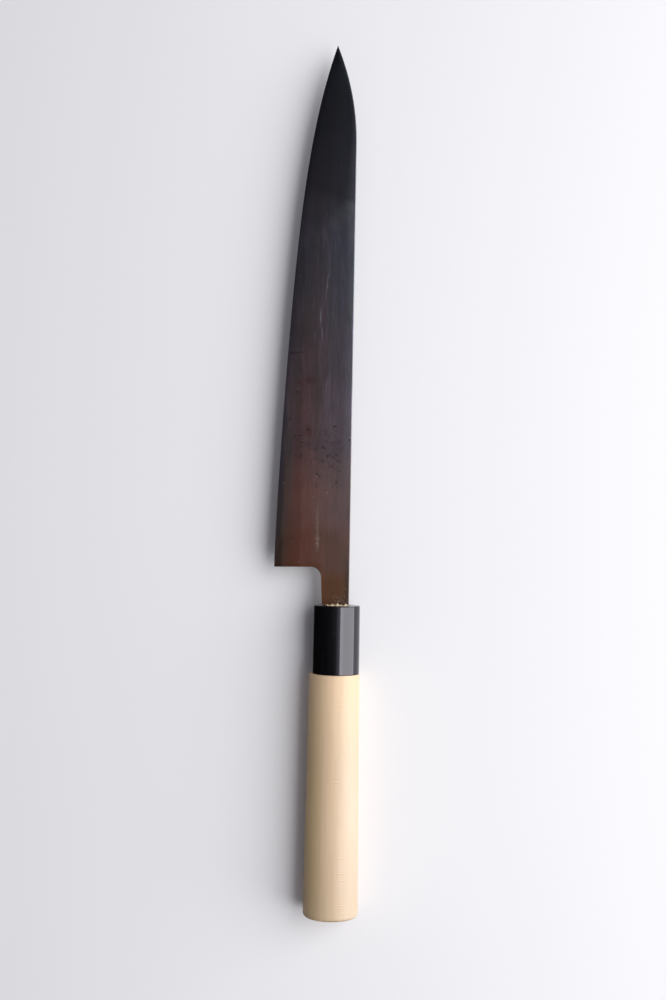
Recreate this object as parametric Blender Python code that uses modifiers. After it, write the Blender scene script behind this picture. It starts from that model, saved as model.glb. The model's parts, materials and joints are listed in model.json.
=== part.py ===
"""A sujihiki, the long Japanese slicing knife, lying on its side.

The pieces are drawn in the knife's own frame, on the empty knife_axis: its origin is the middle of
the ferrule's front face, +Y runs to the tip, +X to the spine and +Z is up. The empty then carries
them into the part's frame, whose origin is on the table, under the middle of the whole knife.
"""

import math

import bmesh
import bpy
from mathutils import Matrix, Vector

# Blade, in metres. Lengths along the blade are counted from the heel, depths from the spine.
BLADE_LENGTH = 0.240
HEEL_HEIGHT = 0.0346
EDGE_RISE = 0.0149
EDGE_RISE_POWER = 1.3
BELLY_RISE = 0.0103
BELLY_POWER = 6.0
SPINE_FALL_LENGTH = 0.046
SPINE_FALL_POWER = 2.05

# Blade thickness and grind
SPINE_THICKNESS = 0.0030
TIP_THICKNESS = 0.0012
POINT_TAPER_LENGTH = 0.030
FLAT_SHARE = 0.40
FLAT_TAPER = 0.008
CONVEXITY = 1.4
SHOULDER_THICKNESS = 0.0005
SHOULDER_THICKNESS_AT_HEEL = 0.00095
SPINE_CHAMFER = 0.00035
BEVEL_WIDTH = 0.0013
BEVEL_WIDTH_AT_HEEL = 0.0044
BEVEL_BLEND_LENGTH = 0.070
BEVEL_BLEND_POWER = 1.3

# Neck, choil and tang
NECK_LENGTH = 0.0172
NECK_HEIGHT = 0.0124
NECK_FLARE = 0.0008
NECK_SHIFT = 0.00075
CHOIL_RADIUS = 0.0046
HEEL_SLANT = 0.0175
MACHI_STEP = 0.0017
TANG_LENGTH = 0.090
TANG_THICKNESS = 0.0026
TANG_END_WIDTH = 0.0052
TANG_END_THICKNESS = 0.0016
TANG_ROOT = 0.006

# Handle
OVAL_RATIO = 0.85
FERRULE_LENGTH = 0.0311
FERRULE_FRONT_WIDTH = 0.02125
FERRULE_REAR_WIDTH = 0.02145
FERRULE_ROUND = 0.0006
TENON_WALL = 0.0011
WOOD_LENGTH = 0.1116
SHOULDER_PROUD = 0.000875
SHOULDER_SHIFT = 0.0006
BUTT_WIDTH = 0.0253
BUTT_ROUND = 0.0020
EASED_EDGE = 0.0002
TENON_CHAMFER = 0.0004
SLOT_END_SPACE = 0.002
PACKING_DEPTH = 0.0022
PACKING_PROUD = 0.0012
PACKING_CRUMBS = 3

# The gap left between pieces that touch
SEAT_GAP = 0.0003

# What follows from the sizes above
SPINE_X = NECK_HEIGHT / 2 - NECK_SHIFT
TANG_WIDTH = NECK_HEIGHT - 2 * MACHI_STEP
BORE_WIDTH = TANG_WIDTH + 2 * (SEAT_GAP + TENON_WALL + SEAT_GAP)
SHOULDER_WIDTH = FERRULE_REAR_WIDTH + 2 * SHOULDER_PROUD
SHOULDER_Y = -FERRULE_LENGTH - SEAT_GAP
BUTT_Y = SHOULDER_Y - WOOD_LENGTH
TENON_Y = -PACKING_DEPTH - SEAT_GAP
HEEL_Y = NECK_LENGTH
TIP_Y = NECK_LENGTH + BLADE_LENGTH

# How finely the shapes are divided
STATIONS = 54
STATION_CROWDING = 1.45
GRIND_ROWS = 6
ROUND_STEPS = 64
ARC_STEPS = 5
FILLET_STEPS = 10
SMOOTH_ANGLE = math.radians(28)
MERGE_DISTANCE = 1e-6


def clear_scene():
    for obj in list(bpy.data.objects):
        bpy.data.objects.remove(obj, do_unlink=True)


def new_collection(name):
    collection = bpy.data.collections.new(name)
    bpy.context.scene.collection.children.link(collection)
    return collection


def principled(name, colour, roughness, metallic=0.0):
    """A Principled BSDF with one linear colour."""
    material = bpy.data.materials.new(name)
    material.use_nodes = True
    shader = material.node_tree.nodes["Principled BSDF"]
    shader.inputs["Base Color"].default_value = (*colour, 1.0)
    shader.inputs["Roughness"].default_value = roughness
    shader.inputs["Metallic"].default_value = metallic
    return material


def object_from_bmesh(name, bm, collection):
    mesh = bpy.data.meshes.new(name)
    bm.to_mesh(mesh)
    bm.free()
    obj = bpy.data.objects.new(name, mesh)
    collection.objects.link(obj)
    return obj


def apply_modifiers(obj):
    """Puts the evaluated mesh in place of the object's mesh and its modifiers."""
    graph = bpy.context.evaluated_depsgraph_get()
    mesh = bpy.data.meshes.new_from_object(obj.evaluated_get(graph))
    obj.modifiers.clear()
    obj.data = mesh


def boolean(obj, operation, other):
    modifier = obj.modifiers.new(f"{operation.lower()} {other.name}", "BOOLEAN")
    modifier.operation = operation
    modifier.object = other
    modifier.solver = "EXACT"


def as_helper(obj):
    """A cutter, or a shape that a union takes in, is not a piece of its own."""
    obj.hide_render = True
    obj.display_type = "WIRE"


def finish(obj, material):
    obj.data.materials.clear()
    obj.data.materials.append(material)
    obj.data.shade_smooth()
    obj.data.set_sharp_from_angle(angle=SMOOTH_ANGLE)


def edge_depth(along):
    """Depth of the cutting edge under the line of the spine."""
    share = max(along, 0.0) / BLADE_LENGTH
    return HEEL_HEIGHT - EDGE_RISE * share**EDGE_RISE_POWER - BELLY_RISE * share**BELLY_POWER


def spine_drop(along):
    """How far the spine has come down towards the edge, which it meets at the tip."""
    into_fall = along - (BLADE_LENGTH - SPINE_FALL_LENGTH)
    if into_fall <= 0:
        return 0.0
    return edge_depth(BLADE_LENGTH) * (into_fall / SPINE_FALL_LENGTH) ** SPINE_FALL_POWER


def bevel(along, height):
    """Width of the sharpened bevel, and the blade's thickness above it.

    Both are large at the heel and fall over the first part of the blade.
    """
    left = max(1 - max(along, 0.0) / BEVEL_BLEND_LENGTH, 0.0) ** BEVEL_BLEND_POWER
    width = BEVEL_WIDTH + (BEVEL_WIDTH_AT_HEEL - BEVEL_WIDTH) * left
    thickness = SHOULDER_THICKNESS + (SHOULDER_THICKNESS_AT_HEEL - SHOULDER_THICKNESS) * left
    return min(width, height * (1 - FLAT_SHARE) / 2), thickness


def point_taper(along):
    """Full thickness up to the last stretch, and none at the point."""
    into_point = max(along - (BLADE_LENGTH - POINT_TAPER_LENGTH), 0.0) / POINT_TAPER_LENGTH
    return math.sqrt(max(1 - into_point**2, 0.0))


def section(along):
    """Half of the blade's cross-section as (depth under the spine line, height over the mid-plane).

    It runs from the middle of the spine over its chamfer, down the flat, over the convex grind and
    the bevel to the edge. The flat is a true plane: its thickness falls evenly to the tip and down
    from the spine. Behind the heel the neck keeps one thickness along its length.
    """
    top = spine_drop(along)
    height = max(edge_depth(along) - top, 0.0)
    thinning = (SPINE_THICKNESS - TIP_THICKNESS) / BLADE_LENGTH
    taper = point_taper(along)
    at_spine = taper * (SPINE_THICKNESS - thinning * max(along, 0.0)) / 2
    chamfer = min(SPINE_CHAMFER, at_spine / 2, height / 8)
    flat_depth = height * FLAT_SHARE
    flat_end = at_spine - taper * FLAT_TAPER * flat_depth
    width, thickness = bevel(along, height)
    shoulder = taper * thickness / 2
    grind_depth = height - width - flat_depth
    points = [
        (0.0, 0.0),
        (0.0, at_spine - chamfer),
        (chamfer, at_spine - taper * FLAT_TAPER * chamfer),
        (flat_depth, flat_end),
    ]
    for row in range(1, GRIND_ROWS + 1):
        share = row / GRIND_ROWS
        fall = (flat_end - shoulder) * share**CONVEXITY
        points.append((flat_depth + grind_depth * share, flat_end - fall))
    points.append((height, 0.0))
    return [(top + depth, rise) for depth, rise in points]


def blade_blank(collection):
    """Blade and neck at full height: a grid laid over one side and mirrored to the other.

    Its first column lies on the mid-plane and closes the end at the ferrule, and its last one
    shrinks to the point.
    """
    start = SEAT_GAP - NECK_LENGTH
    bm = bmesh.new()
    rows = len(section(0.0))
    bmesh.ops.create_grid(bm, x_segments=STATIONS + 1, y_segments=rows - 1, size=1.0)
    for vert in bm.verts:
        column = round((vert.co.x + 1) / 2 * (STATIONS + 1))
        row = round((vert.co.y + 1) / 2 * (rows - 1))
        share = max(column - 1, 0) / STATIONS
        along = start + (BLADE_LENGTH - start) * (1 - (1 - share) ** STATION_CROWDING)
        depth, rise = section(along)[row]
        vert.co = (SPINE_X - depth, HEEL_Y + along, rise if column else 0.0)
    bmesh.ops.remove_doubles(bm, verts=bm.verts, dist=MERGE_DISTANCE)
    bmesh.ops.recalc_face_normals(bm, faces=bm.faces)
    highest = max(bm.faces, key=lambda face: face.calc_area())
    if highest.normal.z < 0:
        bmesh.ops.reverse_faces(bm, faces=bm.faces)
    blank = object_from_bmesh("blade", bm, collection)
    mirror = blank.modifiers.new("other side", "MIRROR")
    mirror.use_axis = (False, False, True)
    mirror.merge_threshold = MERGE_DISTANCE
    apply_modifiers(blank)
    return blank


def choil_cutter(collection):
    """The block that is ground away behind the heel, with its inner corner rounded.

    The heel's face leans forward a little from the edge to the neck.
    """
    reach = HEEL_HEIGHT
    edge_x = SPINE_X - HEEL_HEIGHT
    neck_low = SPINE_X - NECK_HEIGHT
    neck_high = neck_low - NECK_FLARE
    bm = bmesh.new()
    bmesh.ops.create_cube(bm, size=1.0)
    for vert in bm.verts:
        at_neck = vert.co.x > 0
        at_heel = vert.co.y > 0
        side_x = (neck_high if at_heel else neck_low) if at_neck else edge_x - reach
        face_y = HEEL_Y + HEEL_SLANT * (side_x - edge_x)
        vert.co = (side_x, face_y if at_heel else 0.0, math.copysign(reach, vert.co.z))
    corner = [
        edge
        for edge in bm.edges
        if all(v.co.x > neck_high - reach / 2 and v.co.y > HEEL_Y / 2 for v in edge.verts)
    ]
    bmesh.ops.bevel(
        bm,
        geom=corner,
        offset=CHOIL_RADIUS,
        offset_type="OFFSET",
        segments=FILLET_STEPS,
        profile=0.5,
        affect="EDGES",
    )
    cutter = object_from_bmesh("choil_cutter", bm, collection)
    as_helper(cutter)
    return cutter


def tang_bar(name, collection, clearance=0.0, end_space=0.0):
    """The tang, or the slot for it: a bar that tapers both ways, with its far corners cut off."""
    front = TANG_ROOT
    rear = -TANG_LENGTH - end_space
    bm = bmesh.new()
    bmesh.ops.create_cube(bm, size=1.0)
    for vert in bm.verts:
        at_front = vert.co.y > 0
        width = (TANG_WIDTH if at_front else TANG_END_WIDTH) + 2 * clearance
        thickness = (TANG_THICKNESS if at_front else TANG_END_THICKNESS) + 2 * clearance
        vert.co = (
            math.copysign(width / 2, vert.co.x),
            front if at_front else rear,
            math.copysign(thickness / 2, vert.co.z),
        )
    far_corners = [
        edge
        for edge in bm.edges
        if all(v.co.y < 0 for v in edge.verts) and abs(edge.verts[0].co.z - edge.verts[1].co.z) > 1e-6
    ]
    bmesh.ops.bevel(
        bm,
        geom=far_corners,
        offset=TANG_END_WIDTH / 4,
        offset_type="OFFSET",
        segments=2,
        profile=0.5,
        affect="EDGES",
    )
    bar = object_from_bmesh(name, bm, collection)
    as_helper(bar)
    return bar


def arc(centre, radius, start, end):
    """Points of a quarter round, from one angle to the other, as (distance from the axis, along)."""
    turns = [start + (end - start) * step / ARC_STEPS for step in range(ARC_STEPS + 1)]
    return [
        (centre[0] + radius * math.cos(turn), centre[1] + radius * math.sin(turn))
        for turn in turns
    ]


def turned_oval(name, outline, collection, closed=False, shift=0.0):
    """Turns an outline round the knife's axis, and flattens the round into the handle's oval.

    The outline holds (half width, place along the knife), from the front to the rear.
    """
    bm = bmesh.new()
    verts = [bm.verts.new((radius, 0.0, along)) for radius, along in outline]
    pairs = list(zip(verts, verts[1:]))
    if closed:
        pairs.append((verts[-1], verts[0]))
    for first, second in pairs:
        bm.edges.new((first, second))
    obj = object_from_bmesh(name, bm, collection)
    screw = obj.modifiers.new("turned", "SCREW")
    screw.axis = "Z"
    screw.steps = ROUND_STEPS
    screw.render_steps = ROUND_STEPS
    screw.use_merge_vertices = True
    screw.merge_threshold = MERGE_DISTANCE
    apply_modifiers(obj)
    lay_down = Matrix.Rotation(math.radians(-90), 4, "X")
    flatten = Matrix.Scale(OVAL_RATIO, 4, Vector((0, 0, 1)))
    obj.data.transform(Matrix.Translation((shift, 0, 0)) @ flatten @ lay_down)
    return obj


def make_blade(parts, helpers, material):
    blade = blade_blank(parts)
    boolean(blade, "DIFFERENCE", choil_cutter(helpers))
    boolean(blade, "UNION", tang_bar("tang", helpers))
    finish(blade, material)
    return blade


def make_ferrule(parts, material):
    """The oval collar: a ring with its outer edges rounded over."""
    front = FERRULE_FRONT_WIDTH / 2
    rear = FERRULE_REAR_WIDTH / 2
    bore = BORE_WIDTH / 2
    outline = [(bore, 0.0)]
    outline += arc((front - FERRULE_ROUND, -FERRULE_ROUND), FERRULE_ROUND, math.pi / 2, 0)
    outline += [(rear, EASED_EDGE - FERRULE_LENGTH), (rear - EASED_EDGE, -FERRULE_LENGTH)]
    outline += [(bore, -FERRULE_LENGTH)]
    ferrule = turned_oval("ferrule", outline, parts, closed=True)
    finish(ferrule, material)
    return ferrule


def make_handle_body(parts, helpers, material):
    """The wooden grip, with the tenon that fills the ferrule and the slot for the tang."""
    shoulder = SHOULDER_WIDTH / 2
    butt = BUTT_WIDTH / 2
    outline = [(0.0, SHOULDER_Y), (shoulder - EASED_EDGE, SHOULDER_Y), (shoulder, SHOULDER_Y - EASED_EDGE)]
    outline += arc((butt - BUTT_ROUND, BUTT_Y + BUTT_ROUND), BUTT_ROUND, 0, -math.pi / 2)
    outline += [(0.0, BUTT_Y)]
    body = turned_oval("handle_body", outline, parts, shift=-SHOULDER_SHIFT)

    radius = BORE_WIDTH / 2 - SEAT_GAP
    root_y = SHOULDER_Y - BORE_WIDTH / 2
    tenon = turned_oval(
        "tenon",
        [(0.0, TENON_Y), (radius - TENON_CHAMFER, TENON_Y), (radius, TENON_Y - TENON_CHAMFER),
         (radius, root_y), (0.0, root_y)],
        helpers,
    )
    as_helper(tenon)
    boolean(body, "UNION", tenon)
    boolean(body, "DIFFERENCE", tang_bar("tang_slot", helpers, SEAT_GAP, SLOT_END_SPACE))
    finish(body, material)
    return body


def make_tang_packing(parts, helpers, material):
    """The filler in the ferrule's mouth, with a low crumbly ridge on each side of the neck."""
    radius = BORE_WIDTH / 2 - SEAT_GAP
    outline = arc((0.0, 0.0), 1.0, math.pi / 2, 0)
    dome = [(radius * across, PACKING_PROUD * up) for across, up in outline]
    packing = turned_oval("tang_packing", [*dome, (radius, -PACKING_DEPTH), (0.0, -PACKING_DEPTH)], parts)
    crumb = BORE_WIDTH / PACKING_CRUMBS
    for vert in packing.data.vertices:
        if vert.co.y > 0:
            vert.co.y *= 0.7 + 0.3 * math.cos(2 * math.pi * vert.co.x / crumb)

    bm = bmesh.new()
    bmesh.ops.create_cube(bm, size=1.0)
    for vert in bm.verts:
        vert.co.x *= 2 * NECK_HEIGHT
        vert.co.y = NECK_LENGTH if vert.co.y > 0 else 0.0
        vert.co.z *= SPINE_THICKNESS + 2 * SEAT_GAP
    channel = object_from_bmesh("neck_channel", bm, helpers)
    as_helper(channel)
    boolean(packing, "DIFFERENCE", channel)
    boolean(packing, "DIFFERENCE", bpy.data.objects["tang_slot"])
    finish(packing, material)
    return packing


def knife_axis():
    """Carries the knife's frame: the table under the middle of the knife becomes the origin."""
    highest_x = max(BUTT_WIDTH / 2 - SHOULDER_SHIFT, FERRULE_REAR_WIDTH / 2, SPINE_X)
    lowest_x = min(SPINE_X - HEEL_HEIGHT, -BUTT_WIDTH / 2 - SHOULDER_SHIFT)
    half_thickness = max(BUTT_WIDTH, FERRULE_REAR_WIDTH, FERRULE_FRONT_WIDTH) * OVAL_RATIO / 2
    axis = bpy.data.objects.new("knife_axis", None)
    bpy.context.scene.collection.objects.link(axis)
    axis.location = (-(highest_x + lowest_x) / 2, -(TIP_Y + BUTT_Y) / 2, half_thickness)
    return axis


def main():
    clear_scene()
    parts = new_collection("sujihiki_knife")
    helpers = new_collection("cutters_and_joined_shapes")
    steel = principled("patinated_steel", (0.060, 0.045, 0.045), 0.32, 0.9)
    horn = principled("black_horn", (0.006, 0.006, 0.008), 0.12)
    magnolia = principled("magnolia", (0.72, 0.54, 0.36), 0.5)
    filler = principled("glue_and_wood_dust", (0.55, 0.43, 0.28), 0.8)

    axis = knife_axis()
    pieces = [
        make_blade(parts, helpers, steel),
        make_ferrule(parts, horn),
        make_handle_body(parts, helpers, magnolia),
        make_tang_packing(parts, helpers, filler),
    ]
    for obj in [*pieces, *helpers.objects]:
        obj.parent = axis


main()
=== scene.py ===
"""A sujihiki, the long Japanese slicing knife, on a pale floor in soft light.

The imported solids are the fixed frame. Each of the four pieces below stands for one of them and keeps
its place. The stage holds the floor, the lamp, the surroundings and the camera.
"""

import json
import math
import random

import bmesh
import bpy
from bpy.props import FloatProperty, FloatVectorProperty, IntProperty, PointerProperty
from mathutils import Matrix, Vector

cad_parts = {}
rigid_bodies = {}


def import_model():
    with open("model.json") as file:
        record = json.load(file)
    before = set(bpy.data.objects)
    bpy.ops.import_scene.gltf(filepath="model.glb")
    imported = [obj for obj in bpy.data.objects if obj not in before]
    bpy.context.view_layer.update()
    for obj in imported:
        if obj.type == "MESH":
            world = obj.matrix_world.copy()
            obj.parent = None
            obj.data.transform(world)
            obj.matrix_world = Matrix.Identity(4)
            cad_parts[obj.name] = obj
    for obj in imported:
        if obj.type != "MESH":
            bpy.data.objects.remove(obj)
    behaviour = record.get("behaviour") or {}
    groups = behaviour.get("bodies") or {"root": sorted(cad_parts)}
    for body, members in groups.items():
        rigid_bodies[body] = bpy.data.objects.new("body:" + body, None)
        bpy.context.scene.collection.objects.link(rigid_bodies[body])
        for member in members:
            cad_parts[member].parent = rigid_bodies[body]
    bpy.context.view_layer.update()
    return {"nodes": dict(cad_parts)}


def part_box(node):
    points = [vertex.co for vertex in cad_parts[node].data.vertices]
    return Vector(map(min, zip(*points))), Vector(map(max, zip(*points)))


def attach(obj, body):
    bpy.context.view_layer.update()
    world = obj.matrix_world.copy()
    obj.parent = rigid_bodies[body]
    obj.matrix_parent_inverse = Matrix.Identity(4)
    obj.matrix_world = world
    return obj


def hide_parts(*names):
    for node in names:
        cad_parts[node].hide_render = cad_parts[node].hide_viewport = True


bl_info = {
    "name": "Sujihiki Knife",
    "version": (1, 0, 0),
    "blender": (4, 5, 0),
    "location": "3D View > Sidebar > Knife",
    "description": "Adds a Japanese slicing knife piece by piece, and a pale stage for it",
    "category": "Add Mesh",
}

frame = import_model()

# The boxes of the solids, and the sizes and places that the pieces share
BLADE_LOW, BLADE_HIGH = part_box("blade")
FERRULE_LOW, FERRULE_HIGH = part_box("ferrule")
HANDLE_LOW, HANDLE_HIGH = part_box("handle_body")
FILLER_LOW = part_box("tang_packing")[0]
AXIS = (FERRULE_LOW + FERRULE_HIGH) / 2
OVAL_RATIO = (FERRULE_HIGH.z - FERRULE_LOW.z) / (FERRULE_HIGH.x - FERRULE_LOW.x)
SEAT_GAP, HAIRLINE_GAP = 0.0003, 0.00004
NECK_LENGTH = 0.0172
SHOULDER_Y = FERRULE_LOW.y - SEAT_GAP
MOUTH_Y = FERRULE_HIGH.y
HEEL_Y = MOUTH_Y + NECK_LENGTH
TIP_Y = BLADE_HIGH.y

# The blade's outline, as the source of the solids gives it. The edge rises towards the tip and once
# more in the belly, and the spine falls to the tip.
EDGE_RISE, EDGE_RISE_POWER = 0.0149, 1.3
BELLY_RISE, BELLY_POWER = 0.0103, 6
SPINE_FALL, SPINE_FALL_LENGTH, SPINE_FALL_POWER = 0.0094, 0.046, 2.05

# The slot that the tang was burnt into, wider and thicker at its mouth than at its end
SLOT_MOUTH_Y, SLOT_END_Y = -0.0511, -0.1491
SLOT_MOUTH_WIDTH, SLOT_END_WIDTH = 0.0096, 0.0058
SLOT_MOUTH_THICKNESS, SLOT_END_THICKNESS = 0.0032, 0.0022

# How finely the pieces are worked
MERGE_DISTANCE = 1e-6
SAME_PLACE = 1e-5
FERRULE_CUTS, GRIP_CUTS = 28, 60
FILLER_STEPS = 48
CRUMB_VOXEL = 0.00012
STEEL_CREASE, FILLER_CREASE = math.radians(14), math.radians(50)

# The wood: the heart of the tree, which lay below the grip's left side, and the width of a ring.
# Then the places along the grip where it is painted paler as light towards the ferrule, painted dimmer as
# shade towards the butt, and darker round the butt's rim, as painted shade on its rounding and as grime.
TREE_HEART = (-0.021, 0.0, -0.034)
RING_WIDTH = 0.0019
PAINTED_LIGHT_FRONT, PAINTED_SHADE_REAR = (-0.135, -0.090), (-0.150, -0.195)
RIM_SHADE_AND_GRIME_STARTS, RIM_SHADE_AND_GRIME_ENDS = (-0.1987, -0.1996), (-0.2000, -0.19975)

# The stage: the soft lamp's upper and lower edges, the dark card beside the grip, and the camera
LAMP_TOP, LAMP_FOOT = Vector((0.36, 0.0, 1.25)), Vector((1.55, 0.0, 0.10))
LAMP_LENGTH = 1.6
CARD_HEIGHT, CARD_LENGTH, CARD_GAP = 0.12, 0.15, 0.004
CAMERA_PLACE = (0.00592, -0.00879, 0.6492)
CAMERA_TURN = math.radians(1.0)
SENSOR_WIDTH = 36.0
NEAREST_SEEN = 0.01

# The marks below were placed one by one where the photograph shows them. Their x and y are in mm, in
# the knife's frame.

# Rust pits: x, y, diameter in mm
PITS = (
    (-15.0, 28.1, 0.95), (-6.5, 24.1, 1.05), (6.0, 25.1, 1.15), (6.5, 22.8, 0.85), (-1.1, 21.4, 0.85),
    (-12.9, 19.4, 0.75), (-11.7, 20.7, 0.65), (4.3, 17.7, 0.95), (8.8, 17.8, 0.75), (10.2, 23.0, 0.65),
    (13.0, 18.8, 0.75), (10.5, 16.1, 0.85), (9.5, 14.7, 0.75), (0.4, 15.4, 0.85), (1.7, 14.4, 0.75),
    (7.1, 11.6, 0.75), (2.7, 11.1, 0.85), (-4.9, 8.1, 0.75), (-9.3, 16.9, 0.85), (-8.3, 14.8, 0.65),
    (7.1, 6.1, 0.75), (8.6, 4.2, 0.65), (7.5, -0.7, 0.75), (-2.3, -2.4, 0.85), (-3.6, 17.2, 0.65),
    (-2.6, 10.1, 0.75), (-1.9, 10.0, 0.75), (-1.2, 9.9, 0.85), (-0.5, 9.6, 0.75), (0.1, 9.1, 0.85),
    (0.8, 8.5, 0.95), (-1.9, 3.2, 0.95), (-1.3, 2.7, 1.15), (-0.7, 2.1, 1.05), (-0.1, 1.7, 0.65),
    (-5.8, 19.0, 0.65), (3.2, 20.3, 0.65), (5.3, 13.3, 0.65), (-7.0, 6.2, 0.65), (3.9, 8.0, 0.65),
)

# Bright specks on the steel: x, y, half width in mm
BRIGHT_SPECKS = (
    (-16.7, -1.3, 0.30), (-1.8, 2.0, 0.30), (3.1, -5.5, 0.35), (-3.1, -7.5, 0.25), (13.3, 20.0, 0.30),
    (-11.2, 19.9, 0.22), (-7.2, 19.2, 0.22), (-9.4, -37.5, 0.30), (-12.8, -28.4, 0.25),
    (12.0, -53.0, 0.25), (12.4, -49.3, 0.25), (-12.6, 1.8, 0.22), (4.6, -1.5, 0.22), (-10.8, 93.6, 0.22),
)

# Ticks across the grain of the wood, each drawn with a painted highlight and a painted shadow: x, y, half
# length in mm
WOOD_TICKS = (
    (10.9, -101.7, 2.5), (9.7, -136.5, 2.1), (12.1, -170.9, 2.6), (12.4, -177.8, 2.6), (13.1, -180.9, 1.4),
    (13.2, -190.3, 1.5), (13.1, -192.4, 1.9), (11.8, -193.4, 1.1), (13.9, -196.0, 1.6),
)

# Heaps of filler against the neck: x, height in mm above the ferrule's mouth
FILLER_HEAPS = ((4.0, 0.55), (6.7, 0.95), (8.9, 1.10), (10.6, 0.6), (12.6, 1.00))

# Strokes: x, y, half width and half length in mm, turn in degrees, strength.
# First those on the steel: the stains round the pits, the rough field behind them, a dull part of the
# blade, larger stains, the dark mark at the edge, haze, scratches, the worn streak and dust on the neck.
SMEARS = (
    (-6.5, 23.6, 0.9, 1.7, 8, 1.0), (-2.8, 22.4, 0.8, 2.3, 0, 0.6), (5.7, 24.9, 1.5, 0.9, -40, 1.0),
    (2.0, 22.0, 0.9, 2.0, 10, 0.6), (-9.8, 20.6, 2.9, 0.55, -8, 0.8), (-12.0, 19.9, 1.0, 0.8, 30, 0.8),
    (-8.4, 17.3, 1.6, 0.60, 0, 0.9), (-8.4, 15.6, 1.7, 0.55, 0, 0.7), (-5.9, 16.2, 1.6, 0.9, 0, 0.6),
    (-2.6, 14.6, 1.4, 0.9, 0, 0.5), (2.3, 18.2, 1.1, 1.3, 0, 0.8), (1.2, 15.2, 1.6, 1.1, 20, 0.9),
    (3.2, 11.6, 1.9, 1.1, 0, 0.8), (6.9, 11.9, 1.3, 0.7, 20, 0.8), (-2.0, 10.3, 1.6, 0.45, 4, 1.0),
    (0.6, 9.3, 1.1, 0.8, 40, 1.0), (-5.0, 8.4, 1.2, 0.7, 35, 0.8), (-9.3, 11.0, 0.8, 2.0, 0, 0.5),
    (4.5, 6.4, 1.6, 0.9, 0, 0.7), (8.4, 8.7, 2.3, 0.55, 0, 0.6), (8.6, 4.4, 1.4, 0.45, 0, 0.8),
    (-1.3, 2.7, 1.2, 0.5, 40, 0.6), (7.2, -0.4, 1.6, 1.1, -50, 0.6), (-2.3, -2.2, 0.9, 1.5, 0, 0.8),
    (-6.5, 44.6, 1.2, 0.7, 10, 0.4), (-11.1, 40.2, 0.9, 1.0, 0, 1.0),
    (-8.0, 31.4, 0.8, 1.1, 0, 0.5), (-14.8, 28.2, 0.9, 0.9, 0, 0.9), (8.1, 18.0, 1.6, 0.9, -30, 0.6),
)
PITTED_FIELD = ((3.0, 14.0, 10.5, 15.0, 0, 1.0), (-8.0, 15.0, 7.5, 12.0, 0, 0.9))
DULL_PART = ((0.5, 49.0, 15.0, 24.0, 0, 0.9),)
STAINS = (
    (-5.4, 46.2, 4.6, 2.6, 0, 0.9), (-10.0, 44.6, 3.0, 3.2, 0, 0.9), (-5.8, 22.5, 3.6, 5.0, 0, 0.8),
)
EDGE_MARK = ((-11.2, 58.6, 4.2, 0.75, 0, 0.8), (-13.9, 58.4, 2.2, 1.0, 0, 0.9))
HAZE = (
    (12.0, 125.6, 5.4, 4.4, 20, 0.75), (10.5, 122.5, 7.5, 6.5, 30, 0.55),
    (5.5, 118.5, 5.5, 5.0, 30, 0.30), (12.8, 116.0, 2.2, 15.0, 0, 0.45),
)
SCRATCHES = (
    (1.4, 89.5, 0.42, 9.5, 2, 0.26), (1.2, 85.5, 0.55, 4.0, 0, 0.18), (-1.1, 75.0, 0.50, 5.0, 2, 0.27),
    (-0.5, 67.0, 0.40, 6.0, -9, 0.24), (-3.9, 66.0, 0.40, 4.2, 0, 0.14), (-4.4, 82.0, 0.40, 6.0, 0, 0.08),
    (0.8, 121.5, 0.45, 3.5, 12, 0.06), (0.2, 114.5, 0.45, 5.0, -14, 0.05), (9.6, 56.0, 0.35, 7.0, 1, 0.10),
)
WORN_STREAK = (
    (-1.2, -18.5, 1.0, 11.0, -1, 0.12), (-0.9, -27.6, 1.1, 6.5, -1, 0.22), (-0.8, -29.0, 0.7, 3.0, 0, 0.30),
)
NECK_DUST = ((9.0, -55.2, 6.0, 3.8, 0, 0.40),)

# Then the smudge on the horn, the wood's shaded left side made yellower as painted warm shade, the rosy
# lane, and the wood's lit right side made paler as painted light
HORN_SMUDGE = ((7.1, -69.4, 1.1, 0.35, 20, 0.5), (8.4, -70.0, 0.30, 0.55, -30, 0.7))
PAINTED_WARM_SHADE_SIDE = ((-1.6, -160, 8.0, 115.0, 0, 0.8),)
ROSY_LANE = ((6.8, -125, 2.4, 60.0, -0.6, 0.5),)
PAINTED_LIGHT_SIDE = ((17.5, -160, 10.0, 115.0, 0, 1.0),)


# Settings


def length(name, description, default, high):
    return FloatProperty(
        name=name, description=description, default=default, min=0.0, max=high,
        precision=5, unit="LENGTH", subtype="DISTANCE",
    )


def share(name, description, default):
    return FloatProperty(
        name=name, description=description, default=default, min=0.0, max=1.0, subtype="FACTOR",
    )


def colour(name, description, default):
    return FloatVectorProperty(
        name=name, description=description, default=default, size=3, min=0.0, max=1.0, subtype="COLOR",
    )


def count(name, description, default, low, high):
    return IntProperty(name=name, description=description, default=default, min=low, max=high)


class BladeSettings(bpy.types.PropertyGroup):
    neck_colour: colour("Neck colour", "Patina on the neck", (0.118, 0.048, 0.022))
    heel_colour: colour("Heel colour", "Patina just ahead of the heel", (0.141, 0.080, 0.072))
    middle_colour: colour("Middle colour", "Patina at the middle of the blade", (0.096, 0.069, 0.077))
    # The front and tip colours are partly patina and partly painted shade, darker towards the tip for the
    # dark surroundings that the blade's front reflects.
    front_colour: colour("Front colour", "Patina on the front third", (0.056, 0.050, 0.063))
    tip_colour_with_painted_shade: colour("Tip colour", "Patina at the tip", (0.0130, 0.0130, 0.0180))
    bare_colour: colour("Bare colour", "Bare steel where the patina is worn off", (0.40, 0.40, 0.45))
    pit_colour: colour("Pit colour", "Inside the rust pits", (0.016, 0.011, 0.012))
    roughness: share("Roughness", "How matt the steel is", 0.34)
    metal: share("Metal", "How much bare metal shows through the patina", 0.6)
    eased_edge: length("Eased edge", "Round on the heel, the choil and the neck", 0.00015, 0.001)


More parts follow.
